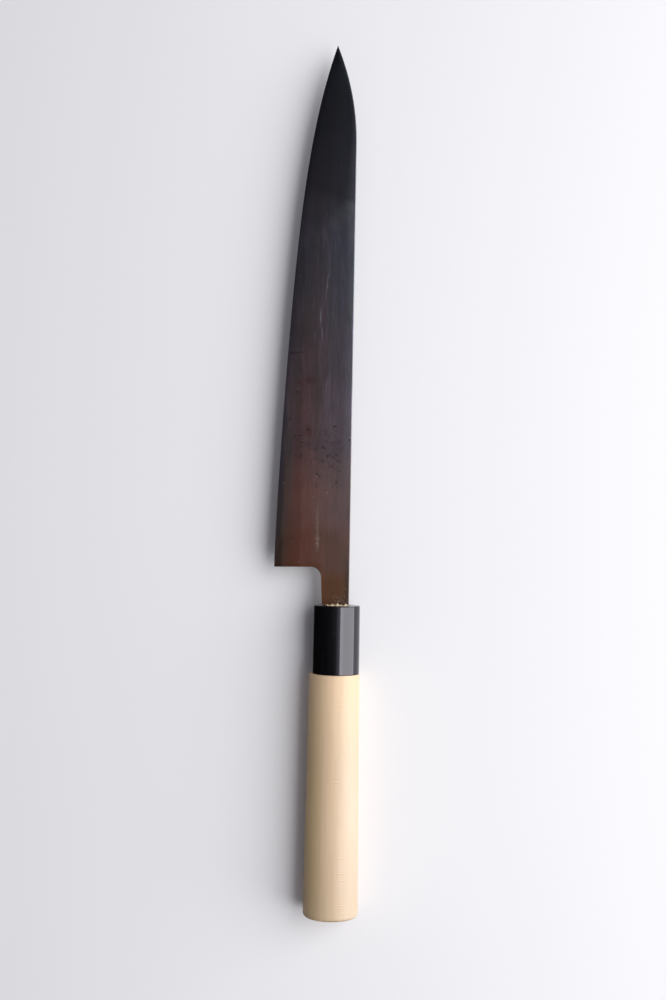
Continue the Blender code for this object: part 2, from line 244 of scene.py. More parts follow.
class FerruleSettings(bpy.types.PropertyGroup):
    horn_colour: colour("Horn colour", "Polished black horn", (0.0015, 0.0015, 0.0025))
    roughness: share("Roughness", "How matt the horn is", 0.09)
    front_width: length("Front width", "Width of the ferrule at its mouth", 0.02125, 0.1)
    bore_width: length("Bore width", "Width of the bore", 0.0124, 0.1)
    front_round: length("Front round", "Round on the front rim", 0.0006, 0.005)
    rear_round: length("Rear round", "Round on the rear rim", 0.0002, 0.005)
    steps: count("Steps", "Number of faces round the ferrule", 128, 16, 512)


class HandleSettings(bpy.types.PropertyGroup):
    wood_colour: colour("Wood colour", "Bare magnolia", (0.650, 0.490, 0.335))
    grain_colour: colour("Grain colour", "Late wood in the magnolia's rings", (0.53, 0.385, 0.235))
    roughness: share("Roughness", "How matt the wood is", 0.48)
    shoulder_width: length("Shoulder width", "Width of the grip at the ferrule", 0.0232, 0.1)
    butt_round: length("Butt round", "Round on the butt's rim", 0.002, 0.01)
    shoulder_round: length("Shoulder round", "Round on the shoulder's rim", 0.0002, 0.005)
    steps: count("Steps", "Number of faces round the grip", 128, 16, 512)


class FillerSettings(bpy.types.PropertyGroup):
    dust_colour: colour("Dust colour", "Dried glue and wood dust", (0.86, 0.74, 0.56))
    crumb_size: length("Crumb size", "Size of the largest crumbs", 0.0009, 0.005)
    crumbs: count("Crumbs", "Number of crumbs in the ferrule's mouth", 90, 4, 400)
    heap: count("Heap", "Number of crumbs in each of the heaps against the neck", 12, 1, 60)


class StageSettings(bpy.types.PropertyGroup):
    floor_colour: colour("Floor colour", "Pale floor", (0.772, 0.774, 0.790))
    far_colour: colour("Far colour", "Floor and surroundings in the distance", (0.86, 0.86, 0.87))
    sky_colour: colour("Sky colour", "Dim light from above and from the left", (0.036, 0.037, 0.044))
    spill_colour: colour("Spill colour", "Light round the lamp's upper edge", (0.72, 0.70, 0.78))
    ends_colour: colour("Ends colour", "Soft light from beyond the tip and the butt", (0.48, 0.46, 0.50))
    floor_size: length("Floor size", "Side of the floor", 16.0, 100.0)
    lamp_power: FloatProperty(
        name="Lamp power", description="Power of the soft lamp on the right", default=29.9, min=0.0,
        unit="POWER",
    )
    lens: FloatProperty(
        name="Lens", description="Focal length of the camera", default=50.0, min=1.0, unit="CAMERA",
    )


class KnifeSettings(bpy.types.PropertyGroup):
    blade: PointerProperty(type=BladeSettings)
    ferrule: PointerProperty(type=FerruleSettings)
    handle: PointerProperty(type=HandleSettings)
    filler: PointerProperty(type=FillerSettings)
    stage: PointerProperty(type=StageSettings)


# Shaping


def only(obj):
    """Selects this object alone, and makes it the active one."""
    if bpy.context.mode != "OBJECT":
        bpy.ops.object.mode_set(mode="OBJECT")
    bpy.ops.object.select_all(action="DESELECT")
    if obj is not None:
        obj.select_set(True)
        bpy.context.view_layer.objects.active = obj


def new_piece(name):
    """The primitive just added, with its place put into its mesh."""
    obj = bpy.context.object
    obj.name = obj.data.name = name
    only(obj)
    bpy.ops.object.transform_apply(location=True, rotation=True, scale=True)
    return obj


def edit(obj, action="DESELECT"):
    """Opens the piece for shaping, with nothing selected on it, or all of it for SELECT."""
    only(obj)
    bpy.ops.object.mode_set(mode="EDIT")
    bpy.ops.mesh.select_mode(type="FACE")
    bpy.ops.mesh.select_all(action=action)


def pick(obj, kind, test):
    """Selects the faces, edges or corners that pass the test, and nothing else."""
    bpy.ops.mesh.select_mode(type=kind)
    bpy.ops.mesh.select_all(action="DESELECT")
    bm = bmesh.from_edit_mesh(obj.data)
    items = {"FACE": bm.faces, "EDGE": bm.edges, "VERT": bm.verts}[kind]
    found = [item for item in items if test(item)]
    if not found:
        raise RuntimeError(f"{obj.name}: no {kind.lower()} was found to work on")
    for item in found:
        item.select_set(True)
    bmesh.update_edit_mesh(obj.data)


def done(obj, angle=math.radians(30)):
    """Leaves edit mode and shades the piece smooth, except where it bends more sharply than this."""
    only(obj)
    bpy.ops.object.shade_smooth_by_angle(angle=angle)


def apply_modifier(obj, kind, **settings):
    only(obj)
    modifier = obj.modifiers.new(kind.lower(), kind)
    for name, value in settings.items():
        setattr(modifier, name, value)
    bpy.ops.object.modifier_apply(modifier=modifier.name)


def cut_away(obj, cutter, **settings):
    """Takes the cutter's shape out of the piece, and then the cutter itself away."""
    apply_modifier(obj, "BOOLEAN", operation="DIFFERENCE", solver="EXACT", object=cutter, **settings)
    bpy.data.objects.remove(cutter, do_unlink=True)


def drop_loose_bits(obj, test):
    """Deletes all that isn't joined to the corners that pass the test."""
    edit(obj)
    pick(obj, "VERT", test)
    bpy.ops.mesh.select_linked()
    bpy.ops.mesh.select_all(action="INVERT")
    bpy.ops.mesh.delete(type="VERT")


def add_round(name, radius, front, rear, steps, across=AXIS.x):
    """A round bar along the knife's axis, from its front to its rear."""
    only(None)
    bpy.ops.mesh.primitive_cylinder_add(
        vertices=steps, radius=radius, depth=front - rear, end_fill_type="NGON",
        location=(across, (front + rear) / 2, AXIS.z), rotation=(math.pi / 2, 0, 0),
    )
    return new_piece(name)


def add_lump(name, radius, place, unevenness, seed, subdivisions=1, **shape):
    """A small uneven ball: a crumb, or what is taken out of the steel for a pit."""
    only(None)
    bpy.ops.mesh.primitive_ico_sphere_add(subdivisions=subdivisions, radius=radius, location=place, **shape)
    lump = new_piece(name)
    edit(lump, "SELECT")
    bpy.ops.transform.vertex_random(offset=unevenness, seed=seed)
    only(lump)
    return lump


def join(main, others):
    """Makes one object of them all, under the main one's name."""
    only(main)
    for other in others:
        other.select_set(True)
    bpy.ops.object.join()


def add_block(name, y, size):
    """A block on the knife's axis, with its middle at y."""
    only(None)
    bpy.ops.mesh.primitive_cube_add(size=1, location=(AXIS.x, y, AXIS.z), scale=size)
    return new_piece(name)


def resize(x=1.0, z=1.0, centre=AXIS):
    bpy.ops.transform.resize(value=(x, 1.0, z), center_override=centre)


def from_axis(point):
    return math.hypot(point.x - AXIS.x, point.z - AXIS.z)


def at(place, wanted):
    return abs(place - wanted) < SAME_PLACE


def lies_across(face, place):
    """Whether the face lies across the knife, at this place along it."""
    return at(face.calc_center_median().y, place)


def runs_along(edge, least):
    """Whether the edge reaches at least this far along the knife."""
    return abs(edge.verts[0].co.y - edge.verts[1].co.y) > least


def round_rims(obj, rims, test=lambda vert: True):
    """Rounds the rims at these places along the knife. Each is (place, size, segments)."""
    for place, size, segments in rims:
        pick(obj, "EDGE", lambda edge: all(at(vert.co.y, place) and test(vert) for vert in edge.verts))
        bpy.ops.mesh.bevel(offset=size, segments=segments, affect="EDGES")


def make_oval(obj):
    """Flattens the round piece to an oval and leaves it with its faces outwards."""
    bpy.ops.mesh.select_all(action="SELECT")
    resize(z=OVAL_RATIO)
    bpy.ops.mesh.normals_make_consistent(inside=False)
    done(obj)


def install(obj, node, finish):
    """Gives the piece its finish and its place in the table, and hides the solid that it stands for."""
    obj.data.materials.clear()
    obj.data.materials.append(finish)
    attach(obj, "root")
    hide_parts(node)


# Finishes


class Desk:
    """Lays nodes out in one node tree and links them."""

    COLUMNS, COLUMN_WIDTH, ROW_HEIGHT = 8, 220, 320

    def __init__(self, tree):
        self.tree = tree
        self.laid = 0

    def add(self, kind, inputs=None, **settings):
        made = self.tree.nodes.new(kind)
        row, column = divmod(self.laid, self.COLUMNS)
        made.location = (self.COLUMN_WIDTH * column, -self.ROW_HEIGHT * row)
        self.laid += 1
        for name, value in settings.items():
            setattr(made, name, value)
        for socket, value in (inputs or {}).items():
            self.feed(made.inputs[socket], value)
        return made

    def feed(self, socket, value):
        if isinstance(value, bpy.types.NodeSocket):
            self.tree.links.new(value, socket)
        elif socket.type == "RGBA" and len(value) == 3:
            socket.default_value = (*value, 1.0)
        else:
            socket.default_value = value

    def place(self):
        return self.add("ShaderNodeTexCoord").outputs["Object"]

    def axes(self, vector):
        return self.add("ShaderNodeSeparateXYZ", {0: vector}).outputs

    def noise(self, place, scale, detail=2.0):
        return self.add("ShaderNodeTexNoise", {"Vector": place, "Scale": scale, "Detail": detail}).outputs

    def math(self, operation, first, second=0.0):
        return self.add("ShaderNodeMath", {0: first, 1: second}, operation=operation).outputs[0]

    def times(self, first, second):
        return self.math("MULTIPLY", first, second)

    def vector(self, operation, first, second):
        return self.add("ShaderNodeVectorMath", {0: first, 1: second}, operation=operation).outputs[0]

    def vector_length(self, vector):
        return self.add("ShaderNodeVectorMath", {0: vector}, operation="LENGTH").outputs["Value"]

    def jostle(self, place, scale, reach):
        """Shifts every place a little, so that what is drawn there comes out uneven."""
        noise = self.noise(place, scale)["Color"]
        shift = self.vector("MULTIPLY", self.vector("SUBTRACT", noise, (0.5, 0.5, 0.5)), reach)
        return self.vector("ADD", place, shift)

    def spread(self, value, low, high, start=0.0, end=1.0, smooth=True):
        """Turns low..high into start..end. A smooth one stays in its range without a clamp."""
        kind = "SMOOTHSTEP" if smooth else "LINEAR"
        inputs = {0: value, 1: low, 2: high, 3: start, 4: end}
        return self.add("ShaderNodeMapRange", inputs, interpolation_type=kind, clamp=not smooth).outputs[0]

    def fade(self, value, full, gone):
        """Is 1 up to where the value is full, and 0 from where it is gone."""
        return self.spread(value, full, gone, 1.0, 0.0)

    def mix(self, amount, first, second, blend="MIX"):
        return self.add(
            "ShaderNodeMix", {0: amount, 6: first, 7: second}, data_type="RGBA", blend_type=blend
        ).outputs[2]

    def tint(self, amount, shade, factors):
        """Multiplies the shade by the factors, as far as amount says."""
        return self.mix(amount, shade, factors, "MULTIPLY")

    def ramp(self, value, stops):
        ramp = self.add("ShaderNodeValToRGB", {0: value})
        elements = ramp.color_ramp.elements
        while len(elements) < len(stops):
            elements.new(0.5)
        for element, (position, shade) in zip(elements, stops):
            element.position = position
            element.color = (*shade, 1.0)
        return ramp.outputs["Color"]

    def effect(self, group, **inputs):
        """Places a shared effect. Names in inputs have _ where the socket has a space."""
        made = self.add("ShaderNodeGroup", node_tree=group())
        for name, value in inputs.items():
            self.feed(made.inputs[name.replace("_", " ")], value)
        return made.outputs["Mask"]


VECTOR, FLOAT = "NodeSocketVector", "NodeSocketFloat"
SHADER_PLACE, OUTPUT_PLACE = (1900, 0), (2200, 0)


def effect_group(name, build, **inputs):
    """Makes a shared effect once: a node group that takes a place and puts out one mask."""
    if name in bpy.data.node_groups:
        return bpy.data.node_groups[name]
    tree = bpy.data.node_groups.new(name, "ShaderNodeTree")
    for label, default in {"Place": (0, 0, 0), **inputs}.items():
        kind = VECTOR if isinstance(default, tuple) else FLOAT
        tree.interface.new_socket(label, in_out="INPUT", socket_type=kind).default_value = default
    tree.interface.new_socket("Mask", in_out="OUTPUT", socket_type=FLOAT)
    desk = Desk(tree)
    mask = build(desk, desk.add("NodeGroupInput").outputs)
    desk.add("NodeGroupOutput", {"Mask": mask})
    return tree


def long_streaks():
    """Streaks that run along the knife: polish lines on steel and horn, fibres in wood."""

    def build(desk, given):
        across = given["Across"]
        stretch = desk.add("ShaderNodeCombineXYZ", {0: across, 1: given["Along"], 2: across}).outputs[0]
        place = desk.vector("MULTIPLY", given["Place"], stretch)
        noise = desk.noise(place, 1.0, given["Detail"])[0]
        return desk.spread(noise, given["Low"], given["High"])

    return effect_group("long streaks", build, Across=800.0, Along=20.0, Detail=2.0, Low=0.4, High=0.6)


def soft_patches():
    """Cloudy patches, where a finish is thicker, dirtier or more worn."""

    def build(desk, given):
        noise = desk.noise(given["Place"], given["Scale"], 3.0)[0]
        return desk.spread(noise, given["Low"], given["High"])

    return effect_group("soft patches", build, Scale=50.0, Low=0.4, High=0.6)


def specks():
    """Scattered specks. Share is how many of the cells hold one."""

    def build(desk, given):
        cells = desk.add("ShaderNodeTexVoronoi", {"Vector": given["Place"], "Scale": given["Scale"]})
        radius = given["Radius"]
        dot = desk.fade(cells.outputs["Distance"], desk.times(radius, 0.5), radius)
        lot = desk.axes(cells.outputs["Color"])["X"]
        return desk.times(dot, desk.math("LESS_THAN", lot, given["Share"]))

    return effect_group("specks", build, Scale=500.0, Radius=0.3, Share=0.3)


def stroke():
    """One placed stroke: a scratch, a tick or a blotch. Across and Along are its two directions,
    each divided by how far the stroke reaches that way."""

    def build(desk, given):
        offset = desk.vector("SUBTRACT", given["Place"], given["Centre"])
        soft = desk.math("SUBTRACT", 1.0, given["Soft"])
        sides = []
        for axis in ("Across", "Along"):
            part = desk.add("ShaderNodeVectorMath", {0: offset, 1: given[axis]}, operation="DOT_PRODUCT")
            part = desk.math("ABSOLUTE", part.outputs["Value"])
            sides.append(desk.fade(part, soft, 1.0))
        return desk.times(*sides)

    return effect_group(
        "stroke", build, Centre=(0, 0, 0), Across=(1000, 0, 0), Along=(0, 200, 0), Soft=0.9
    )


def strokes(desk, place, marks, soft=1.0):
    """The marks of one table on the upper side, in one mask. Soft is how much of each fades out."""
    total = 0.0
    for x, y, half_width, half_length, turn, strength in marks:
        side, ahead = math.cos(math.radians(turn)), math.sin(math.radians(turn))
        one = desk.effect(
            stroke, Place=place, Centre=(x / 1000, y / 1000, AXIS.z), Soft=soft,
            Across=(side * 1000 / half_width, -ahead * 1000 / half_width, 0.0),
            Along=(ahead * 1000 / half_length, side * 1000 / half_length, 0.0),
        )
        total = desk.math("MAXIMUM", desk.times(one, strength), total)
    upper = desk.math("GREATER_THAN", desk.axes(place)["Z"], AXIS.z)
    return desk.times(total, upper)


def new_finish(name, **constants):
    """A material with its Principled BSDF, whose plain values are set on its own sockets."""
    material = bpy.data.materials.new(name)
    material.use_nodes = True
    shader = material.node_tree.nodes["Principled BSDF"]
    shader.location = SHADER_PLACE
    material.node_tree.nodes["Material Output"].location = OUTPUT_PLACE
    for label, value in constants.items():
        shader.inputs[label.replace("_", " ")].default_value = value
    return material, Desk(material.node_tree), shader.inputs


def relief(desk, sockets, height, depth):
    bump = desk.add("ShaderNodeBump", {"Height": height, "Distance": depth})
    desk.feed(sockets["Normal"], bump.outputs["Normal"])


class BladeSpot:
    """Where a point of the blade lies: how far along it, from 0 to 1, and how far from its edge and its
    spine. The last two also come with a wander, which keeps the patina's borders uneven."""

    def __init__(self, desk):
        self.place = desk.place()
        axes = desk.axes(self.place)
        self.x, self.y = axes["X"], axes["Y"]
        self.along = desk.spread(self.y, HEEL_Y, TIP_Y, smooth=False)
        rise = desk.times(desk.math("POWER", self.along, EDGE_RISE_POWER), EDGE_RISE)
        belly = desk.times(desk.math("POWER", self.along, BELLY_POWER), BELLY_RISE)
        edge = desk.math("ADD", desk.math("ADD", rise, belly), BLADE_LOW.x)
        from_edge = desk.math("SUBTRACT", self.x, edge)
        into_fall = desk.spread(self.y, TIP_Y - SPINE_FALL_LENGTH, TIP_Y, smooth=False)
        fall = desk.times(desk.math("POWER", into_fall, SPINE_FALL_POWER), SPINE_FALL)
        self.from_spine = desk.math("SUBTRACT", desk.math("SUBTRACT", BLADE_HIGH.x, fall), self.x)
        self.wander = desk.spread(desk.noise(self.place, 70.0, 3.0)[0], 0.3, 0.7, -0.0007, 0.0007)
        self.inside = desk.math("ADD", from_edge, self.wander)
        self.below = desk.math("ADD", self.from_spine, desk.times(self.wander, 3.0))


def patina(desk, spot, look):
    """The patina along the blade: brown at the neck, then grey, and near black at the tip. The darkening
    over the front and the tip is partly patina and partly painted shade, standing in for the dark
    surroundings that the steel there reflects.
    """
    olive_heel = [channel * factor for channel, factor in zip(look.heel_colour, (0.94, 0.80, 0.66))]
    dark_front_painted_shade = [channel * 0.42 for channel in look.front_colour]
    uneven_y = desk.math("ADD", spot.y, desk.times(spot.wander, 5.0))
    return desk.ramp(
        desk.spread(uneven_y, MOUTH_Y, TIP_Y, smooth=False),
        [
            (0.055, look.neck_colour), (0.082, olive_heel), (0.120, olive_heel), (0.165, look.heel_colour),
            (0.200, look.heel_colour), (0.290, look.middle_colour), (0.360, look.middle_colour),
            (0.620, look.front_colour), (0.665, look.front_colour), (0.740, dark_front_painted_shade),
            (0.860, look.tip_colour_with_painted_shade), (1.000, look.tip_colour_with_painted_shade),
        ],
    )


def patina_lanes(desk, spot, tone):
    """Lanes along the blade: reddish along its middle, darker or bluer along the edge and the spine. The
    edge lane's darkening is painted shade.
    """
    along, inside, below = spot.along, spot.inside, spot.below
    red_lane = desk.times(desk.spread(inside, 0.0035, 0.0080), desk.fade(inside, 0.011, 0.021))
    red_lane = desk.times(red_lane, desk.fade(along, 0.25, 0.65))
    tone = desk.tint(red_lane, tone, (1.12, 0.91, 0.87))
    dark_part = desk.times(desk.spread(along, 0.28, 0.55), desk.fade(along, 0.62, 0.82))
    dark_left = desk.times(desk.fade(inside, 0.006, 0.019), dark_part)
    tone = desk.tint(dark_left, tone, (0.78, 0.80, 0.80))
    rear_part = desk.fade(along, 0.18, 0.30)
    olive_rim = desk.times(desk.fade(inside, 0.0040, 0.0085), rear_part)
    tone = desk.tint(olive_rim, tone, (0.80, 0.92, 0.90))
    # The edge lane: bluer where sharpening took the patina off, and darker as painted shade for the dark
    # reflection on the tilted bevel.
    full = desk.spread(along, 0.02, 0.26, 0.0026, 0.0009)
    gone = desk.spread(along, 0.02, 0.26, 0.0041, 0.0021)
    edge_bevel_lane_and_shade = desk.times(desk.fade(inside, full, gone), desk.spread(along, 0.18, 0.36, 1.0, 0.35))
    edge_bevel_lane_and_shade = desk.times(edge_bevel_lane_and_shade, desk.fade(along, 0.45, 0.65))
    tone = desk.tint(edge_bevel_lane_and_shade, tone, (0.58, 0.66, 0.84))
    right = desk.fade(below, 0.003, 0.016)
    tone = desk.tint(right, tone, (0.86, 0.97, 1.06))
    tone = desk.tint(desk.times(right, dark_part), tone, (0.84, 0.86, 0.86))
    dark_spine = desk.times(desk.fade(below, 0.0008, 0.0034), desk.fade(along, 0.02, 0.24))
    tone = desk.tint(dark_spine, tone, (0.76, 0.88, 1.02))
    behind_heel = desk.times(
        desk.spread(spot.x, 0.0105, 0.0140), desk.fade(spot.y, HEEL_Y - 0.002, HEEL_Y + 0.010)
    )
    return desk.tint(behind_heel, tone, (0.66, 0.78, 0.88))


def painted_spine_highlight(desk, spot, tone, bare):
    """Bare steel's colour mixed in beside the spine as a painted highlight, where the spine's rounding
    catches the lamp, and a brighter painted highlight as a rim along it.
    """
    reach = desk.spread(spot.along, 0.68, 0.90, 0.0055, 0.0022)
    for full, gone, strength, near_heel, near_tip in (
        (0.0002, reach, 0.085, (0.05, 0.25, 0.25, 1.0), (0.76, 0.92, 1.0, 0.30)),
        (0.0001, 0.0005, 0.40, (0.08, 0.30, 0.25, 1.0), (0.80, 0.95, 1.0, 0.40)),
    ):
        light = desk.times(desk.fade(spot.from_spine, full, gone), strength)
        light = desk.times(light, desk.spread(spot.along, *near_heel))
        light = desk.times(light, desk.spread(spot.along, *near_tip))
        tone = desk.mix(light, tone, bare)
    return tone


def coloured_streaks(desk, place, tone):
    """Rosy and olive streaks in the patina."""
    rosy = desk.effect(long_streaks, Place=place, Across=420, Along=14, Detail=4, Low=0.48, High=0.66)
    tone = desk.tint(desk.times(rosy, 0.45), tone, (1.06, 0.90, 0.88))
    shifted = desk.vector("ADD", place, (0.013, 0.021, 0.0))
    olive = desk.effect(long_streaks, Place=shifted, Across=330, Along=26, Detail=4, Low=0.48, High=0.66)
    return desk.tint(desk.times(olive, 0.8), tone, (0.86, 0.96, 0.84))


def pale_wisps(desk, bent, y, tone):
    """Pale wisps and finer strands: faint at the heel, clearer from the middle on, and all but gone
    at the tip."""
    for across, along, detail, low, to_middle, to_tip, factors in (
        (560, 42, 4, 0.50, (-0.010, 0.040, 0.15, 0.50), (0.100, 0.140, 1.0, 0.12), (1.48, 1.50, 1.60)),
        (1700, 60, 3, 0.58, (-0.020, 0.030, 0.15, 0.55), (0.115, 0.150, 1.0, 0.10), (1.55, 1.55, 1.70)),
    ):
        wisps = desk.effect(
            long_streaks, Place=bent, Across=across, Along=along, Detail=detail, Low=low, High=0.68
        )
        wisps = desk.times(wisps, desk.spread(y, *to_middle))
        wisps = desk.times(wisps, desk.spread(y, *to_tip))
        tone = desk.tint(wisps, tone, factors)
    return tone


def rusty_field(desk, place, ragged, tone):
    """The rough field round the pits: small pocks with lit ridges, and dark stains."""
    flat = desk.vector("MULTIPLY", place, (0.5, 1.0, 0.5))
    field = strokes(desk, place, PITTED_FIELD, soft=0.7)
    pocks = desk.effect(soft_patches, Place=flat, Scale=760, Low=0.52, High=0.63)
    pocks = desk.times(pocks, field)
    above = desk.vector("ADD", flat, (0.0, 0.0004, 0.0))
    ridges = desk.effect(soft_patches, Place=above, Scale=760, Low=0.54, High=0.66)
    ridges = desk.times(desk.times(ridges, field), 0.30)
    smears = strokes(desk, ragged, SMEARS, soft=0.8)
    tone = desk.tint(desk.times(field, 0.5), tone, (0.92, 0.90, 0.90))
    tone = desk.tint(ridges, tone, (1.5, 1.45, 1.4))
    tone = desk.tint(desk.times(pocks, 0.95), tone, (0.66, 0.60, 0.62))
    tone = desk.tint(desk.times(smears, 0.85), tone, (0.54, 0.45, 0.46))
    return tone, pocks, smears


def bare_marks(desk, place, bent, ragged, lines, tone, bare):
    """Where the steel is bare or dusty: haze, scratches, the worn streak, dust and bright specks."""
    haze = strokes(desk, place, HAZE, soft=0.8)
    haze = desk.times(haze, desk.spread(lines, 0.2, 0.8, 0.8, 1.0))
    tone = desk.mix(desk.times(haze, 0.10), tone, bare)
    broken = desk.effect(long_streaks, Place=bent, Across=1400, Along=300, Detail=3, Low=0.36, High=0.60)
    broken = desk.spread(broken, 0.0, 1.0, 0.5, 1.0)
    scratches = strokes(desk, bent, SCRATCHES)
    tone = desk.mix(desk.times(scratches, broken), tone, bare)
    worn = desk.times(strokes(desk, ragged, WORN_STREAK), broken)
    dust = desk.effect(specks, Place=place, Scale=1900, Radius=0.55, Share=0.35)
    dust = desk.times(dust, strokes(desk, place, NECK_DUST))
    flecks = strokes(desk, place, [(x, y, size, size, 0, 0.55) for x, y, size in BRIGHT_SPECKS])
    pale = desk.math("MAXIMUM", desk.math("MAXIMUM", worn, dust), flecks)
    return desk.mix(pale, tone, (0.62, 0.56, 0.50))


def patinated_steel(look):
    """Old carbon steel: a patina in lanes, streaks and stains, with scratches and bare specks."""
    finish, desk, sockets = new_finish("patinated_steel", Metallic=look.metal, Specular_IOR_Level=0.4)
    spot = BladeSpot(desk)
    place = spot.place
    tone = patina(desk, spot, look)
    tone = patina_lanes(desk, spot, tone)
    tone = painted_spine_highlight(desk, spot, tone, look.bare_colour)

    lines = desk.effect(long_streaks, Place=place, Across=1500, Along=22, Detail=5, Low=0.25, High=0.75)
    tone = desk.tint(lines, tone, (0.93, 0.93, 0.94))
    tone = coloured_streaks(desk, place, tone)
    bent = desk.jostle(place, 110.0, (0.0030, 0.0, 0.0))
    tone = pale_wisps(desk, bent, spot.y, tone)
    clouds = desk.effect(soft_patches, Place=place, Scale=95, Low=0.38, High=0.66)
    tone = desk.tint(desk.times(clouds, 0.55), tone, (0.80, 0.85, 0.88))

    ragged = desk.jostle(place, 900.0, (0.0030, 0.0020, 0.0))
    tone, pocks, smears = rusty_field(desk, place, ragged, tone)
    tone = desk.tint(strokes(desk, place, DULL_PART), tone, (0.76, 0.79, 0.79))
    tone = desk.tint(strokes(desk, bent, STAINS), tone, (0.88, 0.68, 0.66))
    tone = desk.tint(strokes(desk, ragged, EDGE_MARK), tone, (0.38, 0.40, 0.44))
    tone = bare_marks(desk, place, bent, ragged, lines, tone, look.bare_colour)
    desk.feed(sockets["Base Color"], tone)

    rough = desk.spread(lines, 0.0, 1.0, look.roughness - 0.03, look.roughness + 0.04)
    desk.feed(sockets["Roughness"], desk.math("ADD", rough, desk.times(pocks, 0.12)))
    sunk = desk.math("MAXIMUM", desk.times(pocks, 0.5), smears)
    height = desk.math("SUBTRACT", desk.times(lines, 0.15), sunk)
    relief(desk, sockets, height, depth=0.00003)
    return finish


def pit_rust(look):
    """The dark, matt bottom of the rust pits."""
    finish, desk, sockets = new_finish("pit_rust", Roughness=0.75)
    clouds = desk.effect(soft_patches, Place=desk.place(), Scale=2500, Low=0.40, High=0.60)
    desk.feed(sockets["Base Color"], desk.mix(clouds, look.pit_colour, (0.050, 0.026, 0.020)))
    relief(desk, sockets, clouds, depth=0.00003)
    return finish


def polished_horn(look):
    """Black horn or resin with faint streaks, a high gloss and a small smudge."""
    finish, desk, sockets = new_finish(
        "polished_horn", IOR=1.5, Specular_IOR_Level=0.86, Specular_Tint=(0.94, 0.92, 1.0, 1.0)
    )
    place = desk.place()
    streaks = desk.effect(long_streaks, Place=place, Across=500, Along=25, Detail=4, Low=0.35, High=0.75)
    clouds = desk.effect(soft_patches, Place=place, Scale=150, Low=0.45, High=0.75)
    horn = desk.mix(streaks, look.horn_colour, (0.0045, 0.0042, 0.0050))
    smudge = strokes(desk, place, HORN_SMUDGE)
    desk.feed(sockets["Base Color"], desk.mix(smudge, horn, (0.020, 0.020, 0.022)))
    rough = desk.spread(clouds, 0, 1, look.roughness, look.roughness + 0.05)
    desk.feed(sockets["Roughness"], desk.math("ADD", rough, desk.times(smudge, 0.2)))
    relief(desk, sockets, streaks, depth=0.000003)
    return finish


def growth_rings(desk, place):
    """The late wood of the rings, which sway a little along the grip."""
    sway = desk.noise(desk.vector("MULTIPLY", place, (60, 9, 60)), 1.0)[0]
    from_heart = desk.vector("SUBTRACT", place, TREE_HEART)
    radius = desk.vector_length(desk.vector("MULTIPLY", from_heart, (1.0, 0.0, 1.0)))
    radius = desk.math("ADD", radius, desk.times(sway, 0.004))
    wave = desk.math("SINE", desk.times(radius, 2 * math.pi / RING_WIDTH))
    return desk.spread(wave, 0.0, 1.0)


def bare_magnolia(look):
    """Fine-grained pale wood, with its rings along the handle and across the butt."""
    finish, desk, sockets = new_finish("bare_magnolia", IOR=1.5, Specular_IOR_Level=0.35)
    place = desk.place()
    y = desk.axes(place)["Y"]
    rings = growth_rings(desk, place)
    fibres = desk.effect(long_streaks, Place=place, Across=2600, Along=70, Detail=3, Low=0.35, High=0.65)
    bands = desk.effect(long_streaks, Place=place, Across=230, Along=5, Detail=2, Low=0.35, High=0.65)
    grain = desk.math("ADD", desk.times(rings, 0.13), desk.times(bands, 0.22))
    wood = desk.mix(grain, look.wood_colour, look.grain_colour)
    wood = desk.mix(desk.times(fibres, 0.20), wood, look.grain_colour)

    # Painted warm shade: the wood's shaded left side is made yellower.
    wood = desk.tint(strokes(desk, place, PAINTED_WARM_SHADE_SIDE), wood, (0.95, 0.93, 0.69))
    # Painted light towards the ferrule and painted shade towards the butt, for the lamp's falloff along the
    # grip.
    wood = desk.tint(desk.spread(y, *PAINTED_LIGHT_FRONT), wood, (1.12, 1.11, 1.08))
    wood = desk.tint(desk.spread(y, *PAINTED_SHADE_REAR), wood, (0.91, 0.91, 0.91))
    wood = desk.tint(strokes(desk, place, ROSY_LANE), wood, (1.0, 0.93, 0.90))
    # Painted light: the wood's lit right side is made paler.
    wood = desk.tint(strokes(desk, place, PAINTED_LIGHT_SIDE), wood, (1.02, 1.08, 1.20))
    # Each tick is a small mark, drawn as a painted highlight with a painted shadow just beside it.
    light = strokes(desk, place, [(x, y, half, 0.22, 0, 1.0) for x, y, half in WOOD_TICKS])
    dark = strokes(desk, place, [(x, y - 0.42, half, 0.20, 0, 1.0) for x, y, half in WOOD_TICKS])
    wood = desk.tint(light, wood, (1.24, 1.24, 1.20))
    wood = desk.tint(dark, wood, (0.74, 0.70, 0.64))
    # The rim round the butt is darkened partly as grime and partly as painted shade on its rounding.
    shade_and_grime_patches = desk.effect(soft_patches, Place=place, Scale=420, Low=0.38, High=0.62)
    rim = desk.times(desk.spread(y, *RIM_SHADE_AND_GRIME_STARTS), desk.spread(y, *RIM_SHADE_AND_GRIME_ENDS))
    rim = desk.times(rim, desk.spread(shade_and_grime_patches, 0.0, 1.0, 0.25, 0.9))
    wood = desk.tint(rim, wood, (0.62, 0.58, 0.50))
    desk.feed(sockets["Base Color"], wood)
    desk.feed(sockets["Roughness"], desk.spread(fibres, 0, 1, look.roughness, look.roughness + 0.08))
    height = desk.math("ADD", desk.times(fibres, 0.4), desk.math("SUBTRACT", light, dark))
    relief(desk, sockets, height, depth=0.00003)
    return finish


def glue_and_wood_dust(look):
    """Dry, crumbly filler, a little darker in places and gritty."""
    finish, desk, sockets = new_finish("glue_and_wood_dust", Roughness=0.85)
    place = desk.place()
    clouds = desk.effect(soft_patches, Place=place, Scale=900, Low=0.35, High=0.65)
    grit = desk.effect(specks, Place=place, Scale=2500, Radius=0.4, Share=0.3)
    dust = desk.mix(clouds, look.dust_colour, (0.60, 0.47, 0.31))
    desk.feed(sockets["Base Color"], desk.mix(grit, dust, (0.72, 0.62, 0.48)))
    relief(desk, sockets, clouds, depth=0.00005)
    return finish


